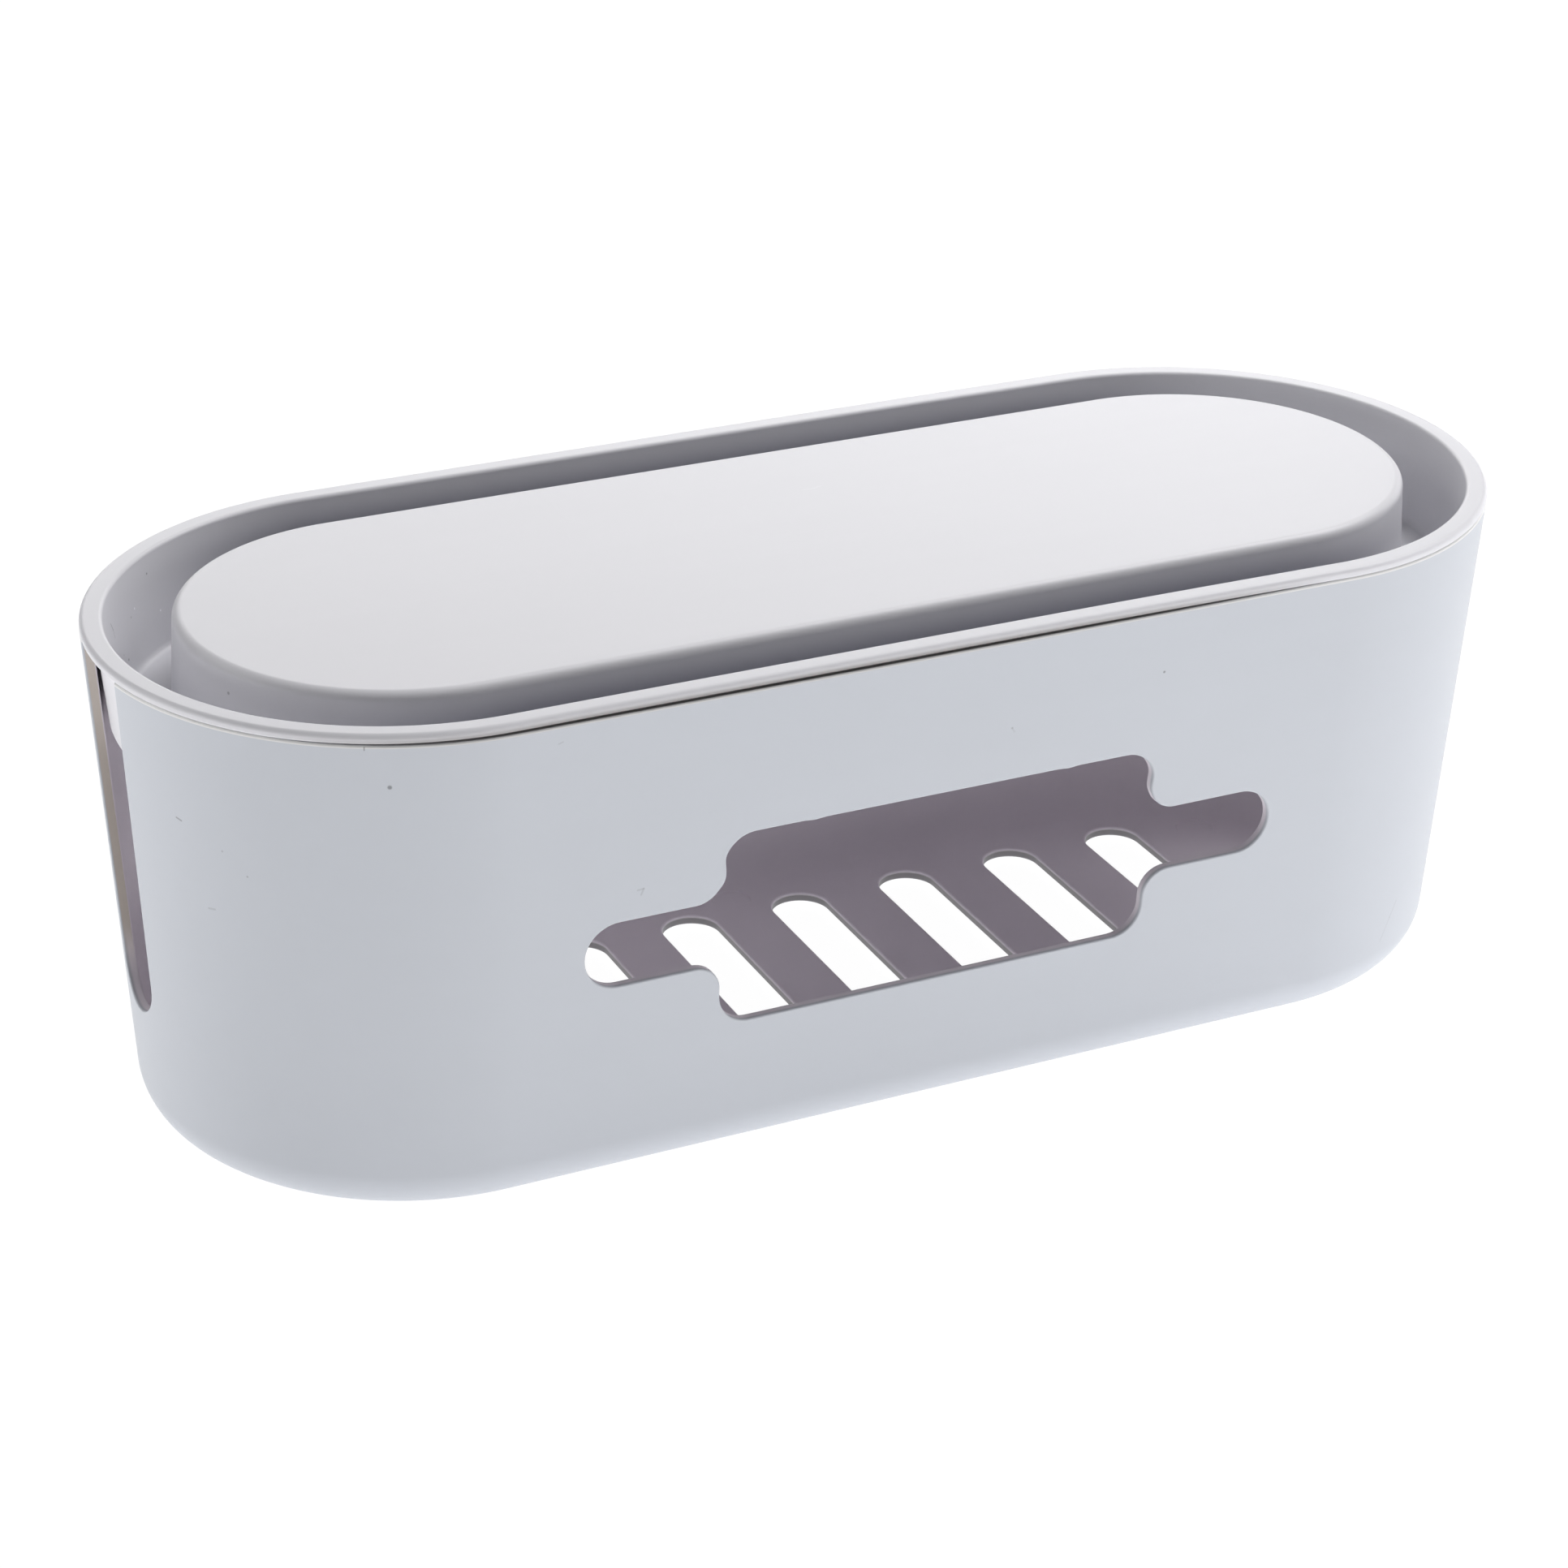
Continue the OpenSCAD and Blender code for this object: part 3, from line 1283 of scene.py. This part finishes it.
    def vents(self, g: Graph, place: Wire) -> Wire:
        """Mask the walls of the floor vents, which are painted darker as painted shade."""
        radius, z = self.reach(g, place)
        return (z.ramp(*self.vent_tint_low) * (self.floor - z).ramp(*self.vent_tint_high)
                * (self.base_r - self.bottom_r - radius).ramp(*self.vent_tint_side))

    def lip(self, g: Graph, place: Wire) -> Wire:
        """Mask the outer round of the top edge, which is painted paler as a painted highlight.
        """
        radius, z = self.reach(g, place)
        return ((z - self.height).ramp(*self.lip_tint_z)
                * (radius - self.lip_edge).ramp(*self.lip_tint_r))

    def seat(self, g: Graph, place: Wire) -> Wire:
        """Mask the line of painted shade in the gap under the rim's edge.

        Args:
            g: the material's graph.
            place: the place, in millimetres.

        Returns:
            One on the line, where the gap stands open.
        """
        radius, z = self.reach(g, place)
        past = radius - self.lip_edge
        under = past.ramp(*self.dust_out) * past.ramp(*self.dust_in)
        return (z - self.height).ramp(*self.dust_z) * under * self.open(g, place)

    def slots(self, g: Graph, place: Wire) -> Wire:
        """Mask the cut faces of the end slots, which are painted darker and browner as painted
        shade.

        Args:
            g: the material's graph.
            place: the place, in millimetres.

        Returns:
            One on the faces, and zero on the wall's outside and inside.
        """
        radius, z = self.reach(g, place)
        depth = self.base_r + z * self.lean - radius
        far = abs(g.axes(place)[0]).ramp(*self.slot_tint_x)
        far = far * (z - self.end_slot_z).ramp(*self.slot_tint_z)
        return (far * depth.ramp(*self.slot_tint_out)
                * (self.wall - depth).ramp(*self.slot_tint_in))


@dataclass
class Lid:
    """The lift-off lid: a raised centre, the trough round it, and the rim."""

    shell: Shell
    rim: float = 2.0
    wall: float = 2.0
    gap: float = 0.5
    trough_draft: float = 5.2
    trough_depth: float = 22.8
    trough_w: float = 13.8
    trough_r: float = 1.6
    centre_draft: float = 3.15
    centre_rise: float = 0.3
    centre_r: float = 2.2
    rim_in_r: float = 0.9
    rim_out_r: float = 1.1
    under_r: float = 1.0
    bow: float = 0.24
    bow_in: float = 0.25
    bow_margin: float = 1.0
    # Where each tint starts and where it is whole.
    # The trough is painted darker with depth as painted shade, over these spans.
    trough_tint_x: Span = (140.0, 80.0)
    trough_tint_z: Span = (1.0, 9.0)
    trough_tint_r: Span = (0.6, 1.2)
    # The rim's outer side is painted darker downwards as painted shade, over these spans.
    skirt_tint_r: Span = (-1.0, -0.2)
    skirt_tint_z: Span = (1.9, 0.3)
    # The faces hidden in the rim's seat are painted near black as painted shade, over these
    # spans.
    seat_middle: float = -0.9       # from the body's top edge
    seat_tint_z: Span = (1.5, 0.8)
    seat_tint_out: Span = (-0.5, -0.8)
    seat_tint_in: Span = (-4.0, -3.5)

    @property
    def plug(self) -> float:
        """End radius of the trough's outside where it meets the seat."""
        return self.shell.width / 2 - self.shell.wall - self.gap

    @property
    def edge(self) -> float:
        """Distance of the rim's side from the spine where it bows in."""
        return self.shell.width / 2 - self.bow_in

    def section(self) -> Section:
        """Draw the half section: raised centre, trough, rim, and back underneath.

        Returns:
            The section, from the axis underneath outwards and back to it.
        """
        body = self.shell
        seat, half_w = body.height, body.width / 2
        top = seat + self.rim
        high = top + self.centre_rise
        plug = self.plug
        low = top - self.trough_depth
        centre = plug - self.wall - self.trough_w
        root = self.trough_r + self.wall
        cd, td, tr = self.centre_draft, self.trough_draft, self.trough_r

        def centre_hub(z: float, radius: float, side: int, thick: float = 0.0) -> float:
            """Centre of a round beside the raised centre's wall."""
            return beside(centre - thick, high, -cd, z, radius, side)

        def rim_hub(z: float, radius: float, side: int, thick: float = 0.0) -> float:
            """Centre of a round beside the trough's outer wall."""
            return beside(plug - self.wall + thick, seat, td, z, radius, side)

        made = Section().to(0, high)
        z = high - self.centre_r
        made.arc(centre_hub(z, self.centre_r, -1), z, self.centre_r, 90, cd, 12)
        z = low + tr
        made.arc(centre_hub(z, tr, 1), z, tr, 180 + cd, 270, 8)
        made.arc(rim_hub(z, tr, -1), z, tr, -90, -td, 8)
        z = top - self.rim_in_r
        made.arc(rim_hub(z, self.rim_in_r, 1), z, self.rim_in_r, 180 - td, 90, 8)
        r = self.rim_out_r
        made.arc(half_w - r, top - r, r, 90, 0, 8)
        r = body.lip_r
        made.arc(half_w - r, seat + r, r, 0, -90, 6)
        made.to(plug, seat)
        z = low - self.wall + root
        made.arc(rim_hub(z, root, -1, self.wall), z, root, -td, -90, 10)
        made.arc(centre_hub(z, root, 1, self.wall), z, root, 270, 180 + cd, 10)
        r = self.under_r
        z = high - self.wall - r
        made.arc(centre_hub(z, r, -1, self.wall), z, r, cd, 90, 6)
        return made.to(0, high - self.wall).backwards()

    def build(self, sweep: OvalSweep, material: bpy.types.Material) -> bpy.types.Mesh:
        """Make the lid's mesh, in millimetres above the feet's plane.

        Args:
            sweep: the tree that carries sections round the oval.
            material: the finish.

        Returns:
            The finished mesh.
        """
        section = self.section()
        body = self.shell
        mesh = sweep.sweep(section, body.half, body.end_steps, body.run_steps, material)
        true_normals(mesh, section, body.half)
        self.lift(mesh)
        mesh.transform(Matrix.Translation((0, 0, body.foot_proud)))
        return mesh

    def lift(self, mesh: bpy.types.Mesh) -> None:
        """Let the rim stand a little off its seat, and in from it, along the sides.

        Args:
            mesh: the lid's mesh, before the box stands on its feet.
        """
        body = self.shell
        spots = column(mesh.vertices, "co", 3)
        run = np.maximum(np.abs(spots[:, 0]) - body.half, 0)
        outer = np.hypot(run, spots[:, 1]) > self.plug - self.wall - self.bow_margin
        low = body.height - self.trough_depth / 2
        share = np.clip((spots[:, 2] - low) / (body.height - low), 0, 1)
        share *= body.gape(spots[:, 0])
        spots[:, 2] += np.where(outer, share * self.bow, 0)
        spots[:, 1] -= np.where(outer, share * self.bow_in * np.sign(spots[:, 1]), 0)
        move(mesh, spots)

    def trough(self, g: Graph, place: Wire) -> Wire:
        """Mask the inside of the trough's long runs, painted darker with depth as painted shade,
        fading out towards both ends.

        Args:
            g: the material's graph.
            place: the place, in millimetres.

        Returns:
            A share that grows with depth.
        """
        body = self.shell
        radius, z = body.reach(g, place)
        lean = math.tan(math.radians(self.trough_draft))
        past = self.plug - (radius + (body.height - z) * lean)
        run = abs(g.axes(place)[0]).ramp(*self.trough_tint_x)
        depth = (body.height + self.rim - z).ramp(*self.trough_tint_z)
        return depth * run * past.ramp(*self.trough_tint_r)

    def skirt(self, g: Graph, place: Wire) -> Wire:
        """Mask the rim's outer side for painted shade, with a share that grows downwards."""
        radius, z = self.shell.reach(g, place)
        return ((radius - self.edge).ramp(*self.skirt_tint_r) * self.shell.open(g, place)
                * (z - self.shell.height).ramp(*self.skirt_tint_z))

    def seat(self, g: Graph, place: Wire) -> Wire:
        """Mask the faces that the rim hides in its seat, which are painted near black as painted
        shade.

        Args:
            g: the material's graph.
            place: the place, in millimetres.

        Returns:
            One on the faces, where the gap stands open.
        """
        radius, z = self.shell.reach(g, place)
        past = radius - self.edge
        near = abs(z - self.shell.height - self.seat_middle).ramp(*self.seat_tint_z)
        side = past.ramp(*self.seat_tint_out) * past.ramp(*self.seat_tint_in)
        return near * self.shell.open(g, place) * side


@dataclass
class Feet:
    """Four round rubber feet."""

    shell: Shell
    radius: float = 6.0
    edge_r: float = 0.5
    dish: float = 0.25
    dish_r: float = 3.6
    dish_slope: float = 0.4

    def section(self) -> Section:
        """Draw the half section: a dished face, a round edge, the side and the top.

        Returns:
            The section, from the axis outwards and back to it.
        """
        top = self.shell.foot_proud + self.shell.foot_seat
        made = Section().to(0, self.dish).to(self.dish_r - self.dish_slope, self.dish)
        made.to(self.dish_r, 0)
        made.arc(self.radius - self.edge_r, self.edge_r, self.edge_r, -90, 0, 6)
        return made.to(self.radius, top).to(0, top)

    def build(self, sweep: OvalSweep, material: bpy.types.Material) -> bpy.types.Mesh:
        """Make one mesh of the feet, in millimetres above the plane they stand on."""
        one = sweep.turn(self.section())
        return Corners().run(one, material, Reach_X=self.shell.foot_x,
                             Reach_Y=self.shell.foot_y)


# ---------------------------------------------------------------- the studio


@dataclass(frozen=True)
class Softbox:
    """A large soft lamp that faces the box."""

    name: str
    azimuth: float
    elevation: float
    width: float
    height: float
    power: float
    distance: float = 1.3


@dataclass
class Studio:
    """Floor, world, lamps and camera."""

    aim: Place = (0.0, 0.0, 0.055)
    ambient: float = 0.02
    floor_reach: float = 6.0
    floor_colour: Colour = (0.88, 0.88, 0.89)
    floor_glow: float = 0.73
    floor_lift: float = 0.9
    lamps: tuple[Softbox, ...] = (
        Softbox("key_box", 120, 58, 0.75, 0.6, 8.2),
        Softbox("right_box", 90, 50, 0.75, 0.6, 5.6),
        Softbox("low_right_box", 115, 8, 0.75, 0.35, 1.5),
        Softbox("back_box", 160, 20, 1.1, 0.4, 4.5),
        Softbox("left_box", -120, 32, 0.75, 0.6, 3.4),
        Softbox("low_left_box", -95, 8, 0.75, 0.35, 3.0),
        Softbox("fill_box", 30, 2.5, 0.75, 0.16, 3.5),
        Softbox("front_box", 30, 22, 0.45, 0.4, 1.4),
    )
    eye: Place = (-0.33943, -0.68299, 0.42841)
    yaw: float = -25.988
    pitch: float = 26.202
    roll: float = 0.946
    lens: float = 87.877
    sensor: float = 36.0
    clip: Span = (0.05, 50.0)

    def camera(self) -> None:
        """Stand the camera where the photograph was taken from."""
        data = bpy.data.cameras.new("camera")
        data.lens, data.sensor_width = self.lens, self.sensor
        data.clip_start, data.clip_end = self.clip
        eye = bpy.data.objects.new("camera", data)
        bpy.context.scene.collection.objects.link(eye)
        turn = (Matrix.Rotation(math.radians(self.yaw), 4, "Z")
                @ Matrix.Rotation(math.radians(90 - self.pitch), 4, "X")
                @ Matrix.Rotation(math.radians(self.roll), 4, "Z"))
        eye.matrix_world = Matrix.Translation(self.eye) @ turn
        bpy.context.scene.camera = eye

    @staticmethod
    def seen(g: Graph) -> Wire:
        """Tell straight, mirrored and refracted rays of the camera from the rest.

        Args:
            g: the material's graph.

        Returns:
            One for those rays.
        """
        path = g.node("ShaderNodeLightPath", None, out="Is Camera Ray")
        seen = path.most(g.other(path, "Is Glossy Ray"))
        return seen.most(g.other(path, "Is Transmission Ray"))

    def floor(self) -> None:
        """Lay the pale floor, which keeps the box's shadow."""
        far = self.floor_reach
        mesh = mesh_of("floor", [(-far, -far, 0), (far, -far, 0), (far, far, 0),
                                 (-far, far, 0)], [(0, 1, 2, 3)])
        floor = new_object("floor", mesh)
        material = bpy.data.materials.new("floor")
        g = new_tree(material)
        lit = g.node("ShaderNodeBsdfDiffuse", None, Color=(*self.floor_colour, 1.0))
        glow = g.node("ShaderNodeEmission", None, Color=WHITE, Strength=self.floor_glow)
        lit = g.node("ShaderNodeAddShader", None, lit, glow)
        white = g.node("ShaderNodeEmission", None, Color=WHITE, Strength=1.0)
        both = g.node("ShaderNodeMixShader", None, self.seen(g) * self.floor_lift, lit, white)
        g.node("ShaderNodeOutputMaterial", None, both)
        mesh.materials.append(material)

    def world(self) -> None:
        """Light the room evenly, and show it as white."""
        world = bpy.data.worlds.new("studio")
        bpy.context.scene.world = world
        g = new_tree(world)
        light = g.node("ShaderNodeBackground", None, Color=WHITE, Strength=self.ambient)
        white = g.node("ShaderNodeBackground", None, Color=WHITE, Strength=1.0)
        path = g.node("ShaderNodeLightPath", None, out="Is Camera Ray")
        both = g.node("ShaderNodeMixShader", None, path, light, white)
        g.node("ShaderNodeOutputWorld", None, both)

    def light(self) -> None:
        """Hang the lamps round the box."""
        for lamp in self.lamps:
            data = bpy.data.lights.new(lamp.name, "AREA")
            data.shape, data.size, data.size_y = "RECTANGLE", lamp.width, lamp.height
            data.energy = lamp.power
            made = bpy.data.objects.new(lamp.name, data)
            bpy.context.scene.collection.objects.link(made)
            a, e = math.radians(lamp.azimuth), math.radians(lamp.elevation)
            way = Vector((math.sin(a) * math.cos(e), -math.cos(a) * math.cos(e), math.sin(e)))
            made.location = Vector(self.aim) + way * lamp.distance
            made.rotation_euler = (-way).to_track_quat("-Z", "Y").to_euler()

    def build(self) -> None:
        """Set the whole studio up."""
        self.camera()
        self.floor()
        self.world()
        self.light()
        bpy.context.scene.view_settings.view_transform = "Standard"


BODY_MARKS = (
    Stroke((-119.5, -59.6, 103.1), 0.62, 0.55),
    Stroke((50.0, -64.2, 98.2), 0.4, 0.5),
    Stroke((14.4, -63.8, 91.9), 0.36, 0.22),
    Stroke((14.4, -63.8, 91.9), 0.26, 0.1, (15.0, -63.8, 90.9)),
    Stroke((-123.9, -58.2, 112.2), 0.2, 0.45, (-123.9, -58.2, 111.2)),
    Stroke((-69.1, -62.6, 71.5), 0.3, 0.16, (-67.8, -62.6, 71.6)),
    Stroke((-67.8, -62.6, 71.6), 0.3, 0.16, (-68.3, -62.5, 70.3)),
    Stroke((-86.6, -64.8, 108.2), 0.22, 0.14, (-85.7, -64.8, 108.5)),
    Stroke((-152.5, -27.2, 88.5), 0.28, 0.4, (-151.9, -28.4, 88.2)),
    Stroke((-146.5, -36.9, 84.3), 0.3, 0.25),
    Stroke((-142.9, -41.0, 79.9), 0.32, 0.3),
    Stroke((-148.5, -32.3, 69.9), 0.32, 0.16, (-147.7, -33.7, 70.1)),
    Stroke((122.7, -52.9, 23.1), 0.32, 0.1, (120.8, -53.7, 19.6)),
    Stroke((120.8, -53.7, 19.6), 0.3, 0.08, (118.1, -54.5, 14.4)),
)
LID_MARKS = (
    Stroke((-139.9, 38.9, 104.6), 0.34, -0.35),
    Stroke((-132.4, 45.6, 100.2), 0.34, -0.35),
    Stroke((-141.2, 37.2, 103.5), 0.34, 0.25),
    Stroke((-148.6, 26.3, 107.7), 0.26, 0.3, (-147.9, 27.3, 105.8)),
    Stroke((-147.9, 27.3, 105.8), 0.22, 0.22, (-147.5, 27.7, 103.8)),
    Stroke((-143.4, 33.0, 95.9), 0.42, 0.5),
    Stroke((-144.9, 31.1, 98.0), 0.26, 0.25),
    Stroke((-135.3, 44.2, 109.7), 0.34, 0.45),
    Stroke((-137.9, -18.3, 108.9), 0.48, 0.4),
    Stroke((7.1, 21.0, 114.5), 0.28, -0.05, (9.9, 20.9, 114.5)),
    Stroke((9.9, 20.9, 114.5), 0.28, -0.05, (11.8, 21.6, 114.5)),
)
# Painted light and shade in the body's colour: a paler inside, a paler top-edge round, and
# darker vents' walls, gap and slot faces.
BODY_PAINTED_LIGHT = (
    (0.92, 0.865, 0.92),    # inside: painted light, paler and pinker than the outside
    (0.22, 0.21, 0.22),     # vents' walls: painted shade
    (0.78, 0.775, 0.77),    # round of the top edge: painted highlight
    (0.28, 0.27, 0.265),    # painted shade in the gap under the rim
    (0.63, 0.57, 0.51),     # end slots' cut faces: painted shade
)
# Painted shade in the lid's colour: a darker trough, rim side and seat.
LID_PAINTED_SHADE = (
    (0.4, 0.4, 0.455),      # trough: painted shade, darker with depth
    (0.29, 0.275, 0.27),    # rim's side: painted shade, darker downwards
    (0.05, 0.05, 0.05),     # seat: painted shade, near black
)
BODY_PLASTIC = Plastic("body_satin", (0.57, 0.593, 0.64), BODY_PAINTED_LIGHT, marks=BODY_MARKS)
LID_PLASTIC = Plastic("lid_satin", (0.735, 0.73, 0.765), LID_PAINTED_SHADE, marks=LID_MARKS)
FOOT_RUBBER = Rubber("foot_rubber", (0.075, 0.075, 0.08))


def main() -> None:
    """Build the box and its studio, and report each piece."""
    logging.basicConfig(level=logging.INFO, format="%(name)s: %(message)s")
    Studio().build()
    sweep = OvalSweep()
    shell = Shell()
    satin = BODY_PLASTIC.build(shell.inside, shell.vents, shell.lip, shell.seat, shell.slots)
    finish_piece("box_body", shell.build(sweep, satin), "base", "body_plastic", "body")
    cover = Lid(shell)
    satin = LID_PLASTIC.build(cover.trough, cover.skirt, cover.seat)
    finish_piece("box_lid", cover.build(sweep, satin), "cover", "lid_plastic", "lid")
    feet = Feet(shell).build(sweep, FOOT_RUBBER.build())
    finish_piece("box_feet", feet, "base", "foot_rubber", "foot_front_left",
                 "foot_front_right", "foot_rear_left", "foot_rear_right")


if __name__ == "__main__":
    main()
